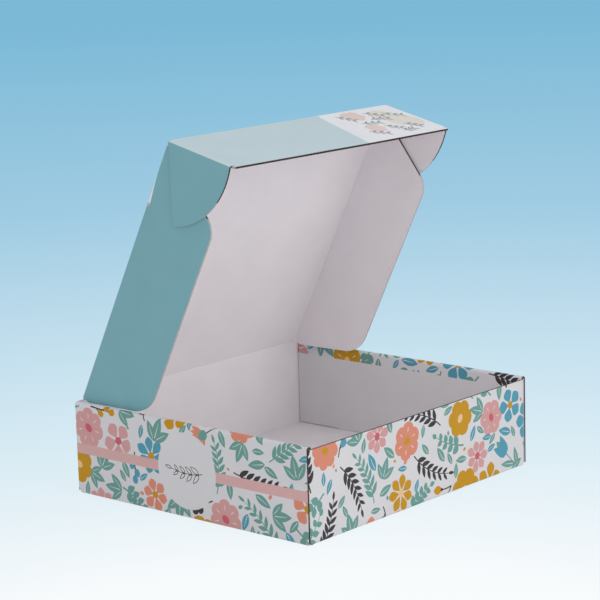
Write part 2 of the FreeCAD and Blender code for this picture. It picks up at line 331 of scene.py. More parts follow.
def rosette(rng, x, y, angle, shade):
    size = rng.uniform(13.0, 16.5)
    lobes = rng.choice((6, 7, 8))
    veined = rng.random() < 0.4
    shapes = [(scallop(x, y, size, lobes, 0.17, angle), shade)]
    for i in range(lobes if veined else 0):
        way = angle + 2 * math.pi * i / lobes
        base = turned(x, y, way, size * 0.42, 0)
        shapes.append((leaf(*base, size * 0.32, size * 0.055, way, 1.0, 4), "paper"))
    shapes.append((oval(x, y, size * 0.25, size * 0.19, angle, 16), EYES[shade]))
    return [(x, y, size)], shapes


def tulip(rng, x, y, angle, shade):
    size = rng.uniform(15.0, 18.5)
    points = stalk(x, y, size * 1.2, angle, rng.uniform(-0.5, 0.5))
    tip_x, tip_y, heading = points[-1]
    shapes = [(ribbon(points, 1.2, 0.9), "sage")]
    room = [(x, y, 3.0)]
    for spread, number in ((1, 1), (-1, 3)):
        root = points[number]
        way = root[2] + spread * 0.6
        shapes += veined_leaf(root[0], root[1], size * 0.95, size * 0.3, way, "sage")
        end = turned(root[0], root[1], way, size * 0.6, 0)
        room.append((end[0], end[1], size * 0.26))
    shapes.append((leaf(tip_x, tip_y, size * 0.98, size * 0.5, heading, 0.72), LININGS[shade]))
    for spread in (-1, 1):
        shapes.append((leaf(tip_x, tip_y, size, size * 0.46, heading + spread * 0.34, 0.62), shade))
    shapes.append((leaf(tip_x, tip_y, size * 0.72, size * 0.42, heading, 0.6), shade))
    middle = turned(tip_x, tip_y, heading, size * 0.45, 0)
    return room + [(middle[0], middle[1], size * 0.56)], shapes


def thistle(rng, x, y, angle, shade):
    """A cup with a fan of narrow petals on a bent stem."""
    size = rng.uniform(11.0, 14.0)
    points = stalk(x, y, size * 1.1, angle, rng.uniform(-0.6, 0.6))
    tip_x, tip_y, heading = points[-1]
    shapes = [(ribbon(points, 0.9, 0.8), "charcoal")]
    for i in range(-3, 4):
        length = size * (1.12 - 0.035 * abs(i))
        shapes.append((leaf(tip_x, tip_y, length, size * 0.25, heading + i * 0.27, 1.3), shade))
    middle = turned(tip_x, tip_y, heading, size * 0.14, 0)
    cup = turned(*middle, heading, -size * 0.3, 0)
    shapes.append((leaf(*cup, size * 0.74, size * 0.56, heading, 0.8), "sage"))
    middle = turned(tip_x, tip_y, heading, size * 0.6, 0)
    return [(x, y, 2.5), (points[4][0], points[4][1], 3.5), (middle[0], middle[1], size * 0.68)], shapes


def leafy(rng, x, y, angle, shade, length, pairs, leaf_length, leaf_width, splay):
    """A sprig of leaves in pairs that grow smaller towards its tip."""
    points = stalk(x, y, length, angle, rng.uniform(-0.75, 0.75), 2 * pairs + 2)
    shapes = [(ribbon(points, leaf_width * 0.28, 0.5), shade)]
    room = []
    for i in range(pairs):
        at = points[2 * i + 2]
        scale = 1.08 - 0.42 * i / pairs
        for spread in (-1, 1):
            root = turned(at[0], at[1], at[2], spread * leaf_length * 0.07, 0)
            shapes.append((leaf(*root, leaf_length * scale, leaf_width * scale,
                                at[2] + spread * splay, 0.85, 6), shade))
        room.append((at[0], at[1], leaf_length * scale * 0.82))
    tip = points[-1]
    shapes.append((leaf(tip[0], tip[1], leaf_length * 0.72, leaf_width * 0.72, tip[2], 0.85, 6), shade))
    end = turned(*tip, leaf_length * 0.3, 0)
    return room + [(end[0], end[1], leaf_length * 0.4)], shapes


def willow(rng, x, y, angle, shade):
    return leafy(rng, x, y, angle, shade, rng.uniform(36, 48), 6, 9.5, 3.6, 0.72)


def fern(rng, x, y, angle, shade):
    return leafy(rng, x, y, angle, shade, rng.uniform(30, 38), 8, 7.0, 1.9, 1.0)


def round_leaved(rng, x, y, angle, shade):
    return leafy(rng, x, y, angle, shade, rng.uniform(26, 36), 4, 8.0, 5.4, 0.95)


def broad_leaves(rng, x, y, angle, shade):
    """Three broad leaves with pale midribs, from one point."""
    size = rng.uniform(15.0, 21.0)
    shapes = []
    room = []
    for spread, scale in ((-0.75, 0.82), (0.75, 0.88), (0.0, 1.0)):
        way = angle + spread
        shapes += veined_leaf(x, y, size * scale, size * scale * 0.42, way, shade)
        middle = turned(x, y, way, size * scale * 0.55, 0)
        room.append((middle[0], middle[1], size * scale * 0.36))
    return room, shapes


def berries(rng, x, y, angle, shade):
    """A thin branching stem with round berries."""
    points = stalk(x, y, rng.uniform(15, 20), angle, rng.uniform(-0.6, 0.6), 6)
    shapes = [(ribbon(points, 1.1, 0.9), "charcoal")]
    room = [(p[0], p[1], 3.2) for p in points[::2]]
    for i, spread in ((2, 0.75), (4, -0.7), (6, 0)):
        at = points[i]
        twig = stalk(at[0], at[1], 5.5 - 0.6 * i, at[2] + spread, -spread * 0.4, 4)
        shapes.append((ribbon(twig, 0.95, 0.85), "charcoal"))
        end = turned(*twig[-1], 1.2, 0)
        size = rng.uniform(2.7, 3.3)
        shapes.append((oval(*end, size, size * 0.86, twig[-1][2], 14), shade))
        room.append((*end, size + 0.5))
    return room, shapes


def buds(rng, x, y, angle, shade):
    """Two or three drop-shaped buds on bent stems."""
    shapes = []
    room = [(x, y, 2.0)]
    for spread in rng.choice(((-0.3, 0.35), (-0.45, 0.1, 0.65))):
        twig = stalk(x, y, rng.uniform(9, 15), angle + spread, spread * 0.9, 5)
        end = twig[-1]
        shapes.append((ribbon(twig, 1.1, 0.9), "charcoal"))
        shapes.append((leaf(*turned(*end, -0.6, 0), 11.0, 6.6, end[2], 1.2, 8), shade))
        shapes.append((leaf(*turned(*end, -1.0, 0), 3.4, 2.6, end[2], 0.8, 4), "charcoal"))
        middle = turned(*end, 4.8, 0)
        room += [(*middle, 5.2), (*twig[3][:2], 1.5)]
    return room, shapes


def lone_leaf(rng, x, y, angle, shade):
    length = rng.uniform(10, 17)
    base = turned(x, y, angle, -length / 2, 0)
    room = [(*turned(x, y, angle, length * share, 0), length * 0.22) for share in (-0.25, 0.0, 0.25)]
    return room, veined_leaf(*base, length, length * 0.42, angle, shade)


def speck(rng, x, y, angle, shade):
    size = rng.uniform(0.9, 1.5)
    return [(x, y, size + 0.6)], [(oval(x, y, size * 1.5, size, angle, 10), shade)]


FLOWER_INKS = ("mustard", "coral", "pink", "blue")
FLORALS = ((willow, ("charcoal", "sage", "charcoal"), 0.34), (rosette, ("mustard", "pink", "coral"), 0.28),
           (daisy, ("coral", "blue", "mustard", "pink"), 0.32), (round_leaved, ("sage",), 0.3),
           (tulip, ("blue", "coral", "pink", "mustard"), 0.22), (broad_leaves, ("sage",), 0.5),
           (thistle, ("blue", "pink", "coral"), 0.3), (buds, ("mustard", "mustard", "blue"), 0.8),
           (fern, ("sage", "charcoal"), 0.2), (berries, ("charcoal", "blue", "charcoal", "mustard"), 0.6),
           (lone_leaf, ("sage", "sage", "blue"), 1.5), (speck, ("mustard", "coral", "sage"), 0.4))


# How far two motifs' circles may run into each other, and how often a place is looked for.
CROWDING = 0.88
TRIES = 80


def scatter(seed, low, high, taken):
    """Motifs thrown one by one on a rectangle, each where it clears the circles already taken."""
    rng = random.Random(seed)
    prints = []
    area = (high[0] - low[0]) * (high[1] - low[1]) / 1000
    for motif, inks, share in FLORALS:
        wanted = round(area * share)
        placed = 0
        for _ in range(wanted * TRIES):
            spot = rng.uniform(low[0], high[0]), rng.uniform(low[1], high[1])
            angle = rng.uniform(0, 2 * math.pi)
            room, shapes = motif(rng, *spot, angle, inks[(placed + seed) % len(inks)])
            if any(math.dist(a[:2], b[:2]) < CROWDING * (a[2] + b[2]) for a in room for b in taken):
                continue
            taken += room
            prints += shapes
            placed += 1
            if placed == wanted:
                break
    return prints


# Placing the flat sheet in space. Depth runs from 0 on the printed face to BOARD on the inner one.

def ridge(distance):
    """How high the scored ridge stands on the inner face, by the distance from a bend."""
    return RIDGE * math.exp(-((distance - RIDGE_OFF) / RIDGE_WIDTH) ** 2)


class Crease:
    """A fold between two panels whose middle planes meet at origin, with a line along its axis."""

    def __init__(self, origin, along, heading, inward, turn):
        self.origin = origin
        self.along = along
        self.heading = heading
        self.inward = inward
        self.turn = turn
        self.middle = BEND_INSIDE + HALF_BOARD
        self.tangent = self.middle * math.tan(turn / 2)
        self.run = (self.middle + HALF_BOARD) * turn
        self.next_heading = heading * math.cos(turn) + inward * math.sin(turn)
        self.next_inward = inward * math.cos(turn) - heading * math.sin(turn)

    def bent(self, along, run, depth):
        """A point of the bend itself: run is the way over it on the printed face."""
        if run >= self.run:
            return self.flat(along, self.tangent + run - self.run, depth)
        rise = depth - HALF_BOARD
        base = self.origin + self.along * along
        if run <= 0:
            if depth > HALF_BOARD:
                rise += ridge(-run)
            return base + self.heading * (run - self.tangent) + self.inward * rise
        angle = self.turn * run / self.run
        centre = base - self.heading * self.tangent + self.inward * self.middle
        out = self.heading * math.sin(angle) - self.inward * math.cos(angle)
        return centre + out * (self.middle - rise)

    def flat(self, along, reach, depth):
        """A point of the second panel, reach from where the middle planes meet."""
        rise = depth - HALF_BOARD
        if depth > HALF_BOARD:
            rise += ridge(reach - self.tangent)
        return self.origin + self.along * along + self.next_heading * reach + self.next_inward * rise


def turn_between(first, second):
    return math.acos(max(-1.0, min(1.0, first.dot(second))))


HINGE_CREASE = Crease(HINGE, RIGHT, UP, -BACK, turn_between(UP, LID_WAY))
TUCK_CREASE = Crease(FRONT_FOLD, RIGHT, LID_WAY, LID_IN, turn_between(LID_WAY, TUCK_WAY))


def side_creases(origin, middle, along, inward):
    """The square folds at the left and right, by side."""
    return {side: Crease(origin + RIGHT * side * middle, along, RIGHT * side, inward, math.pi / 2)
            for side in (-1, 1)}


FLAP_CREASES = side_creases(HINGE, FLAP_MIDDLE, LID_WAY, LID_IN)
EAR_CREASES = side_creases(FRONT_FOLD, EAR_MIDDLE, TUCK_WAY, TUCK_IN)


def quarter(run, depth, radius):
    """Across and up from the start of a quarter bend."""
    angle = run / radius
    return (radius - depth) * math.sin(angle), radius - (radius - depth) * math.cos(angle)


def wing_section(run, depth):
    """A side wing, folded: how far out from the floor's edge and how high, from its run."""
    if run <= BEND_RUN:
        return quarter(max(run, 0), depth, BEND)
    run -= BEND_RUN
    if run <= WALL_RUN:
        return BEND - depth, BEND + run
    run -= WALL_RUN
    if run <= ROLL_RUN:
        angle = run / ROLL
        out = BEND - ROLL + (ROLL - depth) * math.cos(angle)
        return out, ROLL_LEVEL + (ROLL - depth) * math.sin(angle)
    run -= ROLL_RUN
    return BEND - WALL + depth, ROLL_LEVEL - run


def bulge(x, y, amount):
    """A gentle bow, nothing at the edges of a unit square and amount at its middle."""
    return amount * max(0.0, math.sin(math.pi * x)) * max(0.0, math.sin(math.pi * y))


def place_tray(bow):
    def place_end(x, y, depth):
        """The front and back walls with their dust flaps."""
        side = 1 if x > 0 else -1
        end = 1 if y > 0 else -1
        run = abs(y) - FLOOR_Y
        out, rise = quarter(run, depth, BEND)
        if run > BEND_RUN:
            out, rise = BEND - depth, BEND + run - BEND_RUN
        if abs(x) <= DUST_X:
            out += bulge((x / DUST_X + 1) / 2, rise / TOP, -END_BOW * bow)
            return Vector((x, end * (FLOOR_Y + out), rise))
        run = abs(x) - DUST_X
        if run <= BEND_RUN:
            across, back = quarter(run, depth, BEND)
            return Vector((side * (DUST_X + across), end * (END - back), rise))
        back = BEND + run - BEND_RUN
        return Vector((side * (DUST - depth), end * (END - back), rise))

    def place(x, y, depth):
        if abs(y) > FLOOR_Y + 1e-4 and (abs(x) < DUST_X + 1e-4 or abs(y) > WALL_END + 0.1):
            return place_end(x, y, depth)
        if abs(x) <= FLOOR_X:
            return Vector((x, y, depth))
        side = 1 if x > 0 else -1
        out, rise = wing_section(abs(x) - FLOOR_X, depth)
        if abs(x) - FLOOR_X < BEND_RUN + WALL_RUN:
            out += bulge((y / END + 1) / 2, rise / TOP, bow)
        return Vector((side * (FLOOR_X + out), y, rise))
    return place


# Cutting a sheet, printing it and folding it into a mesh.

def counter_clockwise(outline):
    count = len(outline)
    area = sum(outline[i][0] * outline[(i + 1) % count][1] - outline[(i + 1) % count][0] * outline[i][1]
               for i in range(count))
    return outline if area > 0 else outline[::-1]


def triangles_of(outline, holes, shapes, lines, step):
    """Points, triangles and the topmost shape of each triangle, for a sheet with holes."""
    points, faces, edges = [], [], []
    for loop in [outline] + holes + shapes:
        faces.append(list(range(len(points), len(points) + len(loop))))
        points += [Vector(point) for point in counter_clockwise(loop)]
    for line in lines:
        for start, end in zip(line, line[1:]):
            edges.append((len(points), len(points) + 1))
            points += [Vector(start), Vector(end)]
    low = [min(point[i] for point in outline) for i in (0, 1)]
    high = [max(point[i] for point in outline) for i in (0, 1)]
    counts = [max(1, round((high[i] - low[i]) / step)) for i in (0, 1)]
    for i in range(1, counts[0]):
        for j in range(1, counts[1]):
            points.append(Vector((low[0] + (high[0] - low[0]) * i / counts[0],
                                  low[1] + (high[1] - low[1]) * j / counts[1])))
    spots, _, triangles, _, _, origins = delaunay_2d_cdt(points, edges, faces, 0, 1e-4)
    first_shape = 1 + len(holes)
    kept, tops = [], []
    for triangle, origin in zip(triangles, origins):
        if 0 not in origin or any(1 <= place < first_shape for place in origin):
            continue
        kept.append(tuple(triangle))
        top = max(origin)
        tops.append(top - first_shape if top >= first_shape else None)
    return spots, kept, tops


def rim_of(triangles):
    """The boundary edges of a set of triangles, each run with the sheet on its left."""
    seen = set()
    for a, b, c in triangles:
        seen.update(((a, b), (b, c), (c, a)))
    return [(a, b) for a, b in seen if (b, a) not in seen]


# Faces that meet at more than this show a sharp edge.
SHARP_ANGLE = math.radians(34)


class BoardMesh:
    """Collects the corners and faces of one board piece."""

    def __init__(self, place, sideways):
        self.place = place
        self.sideways = sideways
        self.corners = []
        self.flat = []
        self.faces = []
        self.inks = []

    def on_sheet(self, x, y):
        """The spot on the whole sheet, whose flutes run along its second direction."""
        return (y, x) if self.sideways else (x, y)

    def add_corner(self, x, y, depth):
        self.corners.append(self.place(x, y, depth) * MM)
        across, along = self.on_sheet(x, y)
        self.flat.append((across * MM, along * MM))
        return len(self.corners) - 1

    def add_face(self, corners, shade):
        self.faces.append(corners)
        self.inks.append(shade)

    def to_object(self, name, materials, flip):
        faces = [face[::-1] for face in self.faces] if flip else self.faces
        mesh = bpy.data.meshes.new(name)
        mesh.from_pydata(self.corners, [], faces)
        shades = sorted(set(self.inks))
        for shade in shades:
            mesh.materials.append(materials[shade])
        mesh.polygons.foreach_set("material_index", [shades.index(shade) for shade in self.inks])
        flat = mesh.uv_layers.new(name="flat_sheet")
        where = [0.0] * (2 * len(mesh.loops))
        for i, loop in enumerate(mesh.loops):
            where[2 * i:2 * i + 2] = self.flat[loop.vertex_index]
        flat.data.foreach_set("uv", where)
        mesh.polygons.foreach_set("use_smooth", [True] * len(faces))
        mesh.set_sharp_from_angle(angle=SHARP_ANGLE)
        piece = bpy.data.objects.new(name, mesh)
        bpy.context.scene.collection.objects.link(piece)
        return piece


def cut_board(name, outline, place, ground, prints=(), holes=(), lines=(), printed=None, hidden=None,
              sideways=False):
    """A piece of board: printed outer face, plain inner face, and cut edges with open flutes.

    ground is the ink of the outer face where nothing is printed on it, printed says where the
    prints count, hidden says which stretches of rim can't be seen, and sideways says that the
    outline's first direction runs along the flutes.
    """
    board = bpy.context.scene.mailer_board
    step = board.mesh_step / MM
    holes = list(holes)
    shapes = [shape for shape, shade in prints]
    mesh = BoardMesh(place, sideways)
    spots, triangles, tops = triangles_of(outline, holes, shapes, lines, step)
    used = sorted({corner for triangle in triangles for corner in triangle})
    outer = {corner: mesh.add_corner(*spots[corner], 0.0) for corner in used}
    for triangle, top in zip(triangles, tops):
        middle = sum((spots[corner] for corner in triangle), Vector((0, 0))) / 3
        shade = ground
        if top is not None and (printed is None or printed(*middle)):
            shade = prints[top][1]
        mesh.add_face([outer[corner] for corner in triangle], shade)
    plain_spots, plain_triangles, _ = triangles_of(outline, holes, [], lines, step)
    used = sorted({corner for triangle in plain_triangles for corner in triangle})
    under = {corner: mesh.add_corner(*plain_spots[corner], BOARD) for corner in used}
    for triangle in plain_triangles:
        mesh.add_face([under[corner] for corner in triangle[::-1]], "liner")
    add_cut_edges(mesh, spots, rim_of(triangles), outer, board, hidden)
    a, b, c = (mesh.corners[corner] for corner in mesh.faces[0])
    middle = sum((spots[corner] for corner in triangles[0]), Vector((0, 0))) / 3
    towards = place(middle.x, middle.y, 0.0) - place(middle.x, middle.y, BOARD)
    flip = (b - a).cross(c - a).dot(towards) < 0
    return mesh.to_object(name, board_materials(), flip)


def add_cut_edges(mesh, spots, rim, outer, board, hidden):
    """Walls round the sheet. Across the flutes they are open, with the fluted paper between the liners."""
    liner = board.liner / MM
    depth = board.edge_depth / MM
    after = dict(rim)
    before = {b: a for a, b in rim}
    grooves = {}
    for corner in after:
        ways = []
        for start, end in ((before[corner], corner), (corner, after[corner])):
            way = (spots[end] - spots[start]).normalized()
            ways.append(Vector((way.y, -way.x)))
        total = (ways[0] + ways[1]).normalized()
        spot = spots[corner]
        inset = spot - total * depth / max(0.5, total.dot(ways[0]))
        grooves[corner] = (outer[corner], mesh.add_corner(*spot, liner), mesh.add_corner(*inset, liner),
                           mesh.add_corner(*inset, BOARD - liner), mesh.add_corner(*spot, BOARD - liner),
                           mesh.add_corner(*spot, BOARD))

    def is_open(start, end):
        way = mesh.on_sheet(*(spots[end] - spots[start]).normalized())
        return abs(way[0]) > OPEN_EDGE and not (hidden and hidden(*((spots[start] + spots[end]) / 2)))

    for start, end in rim:
        first, second = grooves[start], grooves[end]
        if not is_open(start, end):
            mesh.add_face([first[0], first[5], second[5], second[0]], "edge")
            continue
        # The liners' cut faces take the fluting colour; the hollow between them is painted near-black, as
        # painted shade.
        for level in range(5):
            shade = "fluting" if level in (0, 4) else "core"
            mesh.add_face([first[level], first[level + 1], second[level + 1], second[level]], shade)
        if not is_open(before[start], start):
            mesh.add_face(list(first[1:5]), "core")
        if not is_open(end, after[end]):
            mesh.add_face(list(second[4:0:-1]), "core")
        add_flutes(mesh, spots[start], spots[end], board)


# Steps to a flute in the wavy paper, how far it lies inside the cut edge, and how far its root goes
# past the bottom of the open edge.
FLUTE_STEPS = 8
MEDIUM_INSET, MEDIUM_ROOT = 0.06, 0.05


def add_flutes(mesh, start, end, board):
    """The wavy paper seen in one straight stretch of a cut edge."""
    pitch = board.flute_pitch / MM
    half = board.medium / MM / 2
    swing = HALF_BOARD - board.liner / MM - half
    depth = board.edge_depth / MM
    way = end - start
    out = Vector((way.y, -way.x)).normalized()
    count = max(1, math.ceil(abs(mesh.on_sheet(*way)[0]) / pitch * FLUTE_STEPS))
    rows = []
    for i in range(count + 1):
        spot = start + way * i / count
        level = HALF_BOARD + swing * math.sin(2 * math.pi * mesh.on_sheet(*spot)[0] / pitch)
        near, far = spot - out * MEDIUM_INSET, spot - out * (depth + MEDIUM_ROOT)
        rows.append((mesh.add_corner(*far, level - half), mesh.add_corner(*near, level - half),
                     mesh.add_corner(*near, level + half), mesh.add_corner(*far, level + half)))
    for first, second in zip(rows, rows[1:]):
        for i in range(3):
            mesh.add_face([first[i], first[i + 1], second[i + 1], second[i]], "fluting")


# Finishes.

def board_materials():
    """One material for each ink, made once."""
    inks = bpy.context.scene.mailer_inks
    made = bpy.data.materials
    return {name: made.get(name) or make_finish(name, getattr(inks, name)) for name in INK_NAMES}


# Noise scales are for the flat sheet in metres, and the bump's depth is in metres.
# Cut-edge inks, the painted flute shade among them, take the coarse fibre noise and darker fibres.
CUT_EDGE_INKS = ("edge", "core", "fluting")
FILM_SCALE, FIBRE_SCALE, GRAIN_SCALE = 34.0, 900.0, 2600.0
THIN_FILM, DARK_FIBRE = 0.965, 0.72
FINE_GRAIN, COARSE_GRAIN = 0.35, 2.0
BUMP_STRENGTH, BUMP_DEPTH = 0.5, 0.00003
BOARD_IOR = 1.47
INK_GLOSS = 0.28
ROUGHNESS = {"liner": 0.62, "edge": 0.8, "core": 0.95, "fluting": 0.9, "teal": 0.42, "pale_teal": 0.4}


def make_finish(name, tint):
    """Coated board in one ink: a faint washboard from the flutes, paper grain and an uneven ink film."""
    material = bpy.data.materials.new(name)
    material.use_nodes = True
    nodes, links = material.node_tree.nodes, material.node_tree.links
    shader = nodes["Principled BSDF"]
    shader.inputs["Roughness"].default_value = ROUGHNESS.get(name, 0.5)
    shader.inputs["IOR"].default_value = BOARD_IOR
    shader.inputs["Specular IOR Level"].default_value = INK_GLOSS
    flat = nodes.new("ShaderNodeUVMap")
    flat.uv_map = "flat_sheet"
    cut_edge_ink = name in CUT_EDGE_INKS

    cloud = nodes.new("ShaderNodeTexNoise")
    cloud.inputs["Scale"].default_value = FIBRE_SCALE if cut_edge_ink else FILM_SCALE
    cloud.inputs["Detail"].default_value = 4.0
    links.new(flat.outputs["UV"], cloud.inputs["Vector"])
    shade = nodes.new("ShaderNodeMix")
    shade.data_type = "RGBA"
    deep = DARK_FIBRE if cut_edge_ink else THIN_FILM
    shade.inputs["A"].default_value = (*[value * deep for value in tint], 1)
    shade.inputs["B"].default_value = (*tint, 1)
    spread = nodes.new("ShaderNodeMapRange")
    spread.inputs["From Min"].default_value = 0.32
    spread.inputs["From Max"].default_value = 0.68
    links.new(cloud.outputs["Fac"], spread.inputs["Value"])
    links.new(spread.outputs["Result"], shade.inputs["Factor"])
    links.new(shade.outputs["Result"], shader.inputs["Base Color"])

    grain = nodes.new("ShaderNodeTexNoise")
    grain.inputs["Scale"].default_value = GRAIN_SCALE
    grain.inputs["Detail"].default_value = 2.0
    links.new(flat.outputs["UV"], grain.inputs["Vector"])
    flutes = nodes.new("ShaderNodeTexWave")
    flutes.wave_type = "BANDS"
    flutes.bands_direction = "X"
    pitch = bpy.context.scene.mailer_board.flute_pitch
    flutes.inputs["Scale"].default_value = 2 * math.pi / (20 * pitch)
    flutes.inputs["Distortion"].default_value = 0.25
    flutes.inputs["Detail Scale"].default_value = 0.3
    links.new(flat.outputs["UV"], flutes.inputs["Vector"])
    height = nodes.new("ShaderNodeMath")
    height.operation = "MULTIPLY_ADD"
    height.inputs[1].default_value = COARSE_GRAIN if cut_edge_ink else FINE_GRAIN
    links.new(grain.outputs["Fac"], height.inputs[0])
    links.new(flutes.outputs["Fac"], height.inputs[2])
    bump = nodes.new("ShaderNodeBump")
    bump.inputs["Strength"].default_value = BUMP_STRENGTH
    bump.inputs["Distance"].default_value = BUMP_DEPTH
    links.new(height.outputs["Value"], bump.inputs["Height"])
    links.new(bump.outputs["Normal"], shader.inputs["Normal"])
    return material


# The pieces of the box.

def mirrored(right):
    """A whole outline from its right half."""
    return right + [(-x, y) for x, y in right[::-1]]


def tray_outline():
    """The tray's blank: floor, side wings with tabs, and end wings with dust flaps."""
    wing = FLOOR_X + WING
    roll_end = FLOOR_X + ROLL_END
    wall_foot = FLOOR_X + BEND_RUN
    tab = wing + TAB_RUN
    near, far = TAB_NEAR, TAB_NEAR - TAB_WIDTH
    foot = FLOOR_Y + BEND_RUN + DUST_FOOT - BEND
    dust = DUST_X + BEND_RUN + END - BEND - DUST_TIP
    dust_top = FLOOR_Y + FRONT_WING
    front = [(dust, -dust_top), (dust, -foot), (DUST_X, -foot), (DUST_X, -FLOOR_Y), (wall_foot, -FLOOR_Y),
             (wall_foot, -WALL_END), (roll_end, -WALL_END), (roll_end, -FLOOR_Y), (wing, -FLOOR_Y)]
    tabs = [(wing, -near), (tab, -near), (tab, -far), (wing, -far)]
    tabs += [(x, -y) for x, y in tabs[::-1]]
    back = [(x, -y) for x, y in front[:0:-1]]
    back += [(dust, dust_top), (DUST_X, dust_top), (DUST_X, FLOOR_Y + BACK_WING)]
    return mirrored(front + tabs + back)


def tray_lines(board):
    """Fold lines of the tray, several to a bend, and the lines where the print stops."""
    lines = []
    hem = board.floor_print / MM
    runs = [(-hem, FLOOR_Y)] + [(BEND_RUN * i / BEND_STEPS, FLOOR_Y) for i in range(BEND_STEPS + 1)]
    runs += [(BEND_RUN + WALL_RUN + ROLL_RUN * i / ROLL_STEPS, WALL_END) for i in range(ROLL_STEPS + 1)]
    runs.append((ROLL_END + board.roll_print / MM, FLOOR_Y))
    for run, reach in runs:
        for side in (-1, 1):
            lines.append([(side * (FLOOR_X + run), -reach), (side * (FLOOR_X + run), reach)])
    for end, wing in ((-1, FRONT_WING), (1, BACK_WING)):
        for run in [-hem] + [BEND_RUN * i / BEND_STEPS for i in range(BEND_STEPS + 1)]:
            y = end * (FLOOR_Y + run)
            lines.append([(-DUST_X, y), (DUST_X, y)])
        for i in range(BEND_STEPS + 1):
            for side in (-1, 1):
                x = side * (DUST_X + BEND_RUN * i / BEND_STEPS)
                lines.append([(x, end * (FLOOR_Y + BEND_RUN)), (x, end * (FLOOR_Y + wing))])
    return lines


# How far the scattered print runs past the roll's print and the end walls, to be cut off there.
PAST_ROLL, PAST_END = 4.0, 8.0

# The room that the scattered print leaves round the label, as a share of its radius.
LABEL_ROOM = 0.75


def tray_prints(board):
    """Scattered flowers on the four walls, then the band and the round label on the side walls."""
    hem = board.floor_print / MM
    stop = ROLL_END + board.roll_print / MM + PAST_ROLL
    label = board.label / MM / 2
    middle = FLOOR_X + BEND_RUN + TOP / 2 - BEND
    taken = []
    prints = []
    for number, side in enumerate((-1, 1)):
        spans = sorted((side * (FLOOR_X - hem), side * (FLOOR_X + stop)))
        taken.append((side * middle, 0.0, label * LABEL_ROOM))
        prints += scatter(board.seed + number, (spans[0], -WALL_END), (spans[1], WALL_END), taken)
    reach = DUST_X + BEND_RUN + PAST_END
    prints += scatter(board.seed + 2, (-reach, -(FLOOR_Y + FRONT_WING)), (reach, -(FLOOR_Y - hem)), taken)
    prints += scatter(board.seed + 3, (-reach, FLOOR_Y - hem), (reach, FLOOR_Y + BACK_WING), taken)
    half = board.band / MM / 2
    for side in (-1, 1):
        x = side * middle
        prints.append((box_between(x - half, x + half, -END, END), "band"))
        prints.append((oval(x, 0.0, label, label, 0.0, 64), "paper"))
        prints += label_sprig(x, 0.0)
    return prints


def outlined_leaf(x, y, length, width, angle, line):
    """A leaf drawn as a thin line."""
    inner = turned(x, y, angle, line * 1.6, 0)
    return [(leaf(x, y, length, width, angle, 0.85, 8), "charcoal"),
            (leaf(*inner, length - line * 3.4, width - line * 2.2, angle, 0.85, 8), "paper")]


def label_sprig(x, y, length=30.0, pairs=4, line=0.5):
    """A plain sprig of outlined leaves across the round label."""
    bend = 0.5
    points = stalk(x, y - length / 2, length, math.pi / 2 - bend / 2, bend, 2 * pairs + 1)
    prints = []
    for i in range(pairs):
        at = points[2 * i + 1]
        size = 9.5 - 1.1 * i
        for spread in (-0.72, 0.72):
            prints += outlined_leaf(at[0], at[1], size, size * 0.4, at[2] + spread, line)
    tip = points[-1]
    prints += outlined_leaf(tip[0], tip[1], 6.5, 2.6, tip[2], line)
    return prints + [(ribbon(points, line * 1.2, line * 0.8), "charcoal")]


def tray_printed(board):
    """Where the print counts: the walls, the rolled tops and a hem under the floor."""
    hem = board.floor_print / MM
    stop = FLOOR_X + ROLL_END + board.roll_print / MM

    def printed(x, y):
        if abs(x) > stop:
            return False
        return abs(x) > FLOOR_X - hem or abs(y) > FLOOR_Y - hem
    return printed


def tray_slots():
    plans = []
    inner = SIDE - WALL
    for side in (-1, 1):
        for end in (-1, 1):
            xs = sorted((side * (inner - SLOT_GAP), side * (inner + BOARD + SLOT_GAP)))
            ys = sorted((end * (TAB_NEAR + SLOT_GAP), end * (TAB_NEAR - TAB_WIDTH - SLOT_GAP)))
            plans.append(box_between(*xs, *ys))
    return plans


def tray_hidden(x, y):
    """Rims inside the folded tray: the inner walls' ends, dust flaps, low corners and the lid's fold."""
    if abs(y) > WALL_END + 0.1:
        return abs(x) > DUST_X + BEND_RUN or y > 0
    wall = BEND_RUN + 0.01 < abs(x) - FLOOR_X < ROLL_END
    return abs(y) > FLOOR_Y - 1 and not wall


def finish_piece(piece, body, *nodes):
    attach(piece, body)
    if nodes:
        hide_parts(*nodes)


class MAILER_OT_tray(bpy.types.Operator):
    """Fold and print the tray"""
    bl_idname = "mailer.tray"
    bl_label = "Tray"

    def execute(self, context):
        board = context.scene.mailer_board
        piece = cut_board("tray_board", tray_outline(), place_tray(board.bow / MM), "paper",
                          prints=tray_prints(board), holes=tray_slots(), lines=tray_lines(board),
                          printed=tray_printed(board), hidden=tray_hidden)
        finish_piece(piece, "tray", "tray")
        return {"FINISHED"}


def lid_half_width():
    return FLAP_MIDDLE - FLAP_CREASES[1].tangent - LEAD


def tuck_half_width():
    return EAR_MIDDLE - EAR_CREASES[1].tangent - LEAD


# The lid's print, by the distance along the lid from its hinge, and where the tuck flap's picture starts.
BELT_LOW, BELT_HIGH, STRIPE = 169.0, 207.0, 5.0
PICTURE_AT_FOLD, PICTURE_AT_EDGE = 38.0, 25.0
PAST_LID = 9.0
BELT_FLOWERS = 5
FLOWER_SPACING, SPRIG_OFFSET = 47.0, 16.5

# The tuck flap widens this far past the ears' reach, and stays this far inside the ears' faces.
TUCK_SHOULDER, EAR_SLIT = 0.4, 0.3

# The tuck flap's free edge ripples by this much, over this length.
RIPPLE, RIPPLE_LENGTH = 0.25, 17.0


